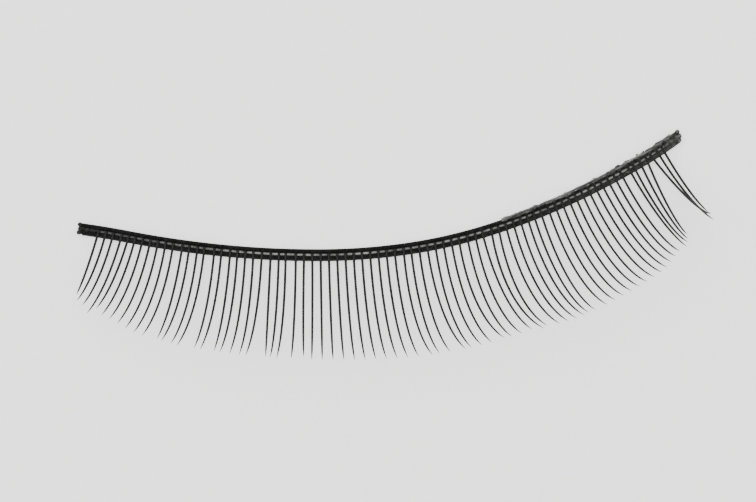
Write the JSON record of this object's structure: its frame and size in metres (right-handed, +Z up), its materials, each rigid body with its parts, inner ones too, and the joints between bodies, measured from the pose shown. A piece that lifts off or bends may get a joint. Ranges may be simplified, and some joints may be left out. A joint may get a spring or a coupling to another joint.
{
  "type": "false eyelash strip",
  "caption": "Strip of curled false lashes knotted over a slim band of two black threads, held by clear glue and lying on the band's glued underside.",
  "frame": {"origin": "middle of the strip's length and depth, on the plane that the band's glued underside rests on", "axes": "+X along the band from its inner end to its outer end, -Y the way the lashes leave the band, +Z up, the way the lashes curl"},
  "size_m": [0.0328, 0.0126, 0.0044],
  "materials": {
    "black_fibre": "black synthetic hair fibre with a soft sheen, thinning to a point",
    "black_cotton": "black twisted thread, soaked and stiffened with dried glue",
    "clear_glue": "thin dried clear latex glue, grey and slightly milky",
    "dried_glue": "uneven flaky crust of dried grey glue"
  },
  "bodies": {
    "root": {"lash_fringe": "black_fibre", "upper_thread": "black_cotton", "glue_film": "clear_glue", "glue_crust": "dried_glue"}
  },
  "joints": []
}
